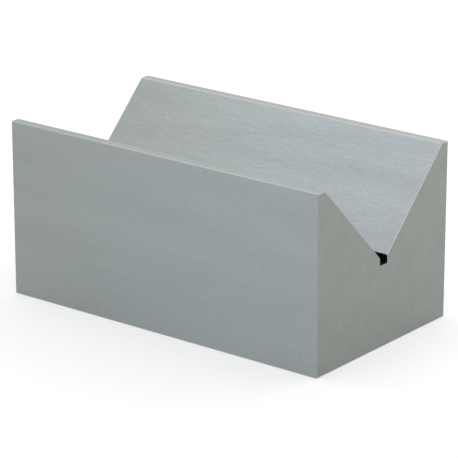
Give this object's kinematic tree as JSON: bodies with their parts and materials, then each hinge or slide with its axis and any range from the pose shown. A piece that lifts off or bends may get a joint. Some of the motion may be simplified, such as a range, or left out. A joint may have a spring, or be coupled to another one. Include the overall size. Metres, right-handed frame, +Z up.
{
  "type": "v block",
  "caption": "Rectangular ground steel block with a 90 degree vee and a narrow relief slot along its top, for seating round bar.",
  "frame": {"origin": "centre of the base, on the surface that the block stands on", "axes": "+X along the block and the vee, +Y across it from the front side to the rear side, +Z up out of the vee"},
  "size_m": [0.125, 0.07, 0.06],
  "materials": {
    "ground_steel": "fine surface grinding, satin, edges broken bright"
  },
  "bodies": {
    "root": {"v_block": "ground_steel"}
  },
  "joints": []
}
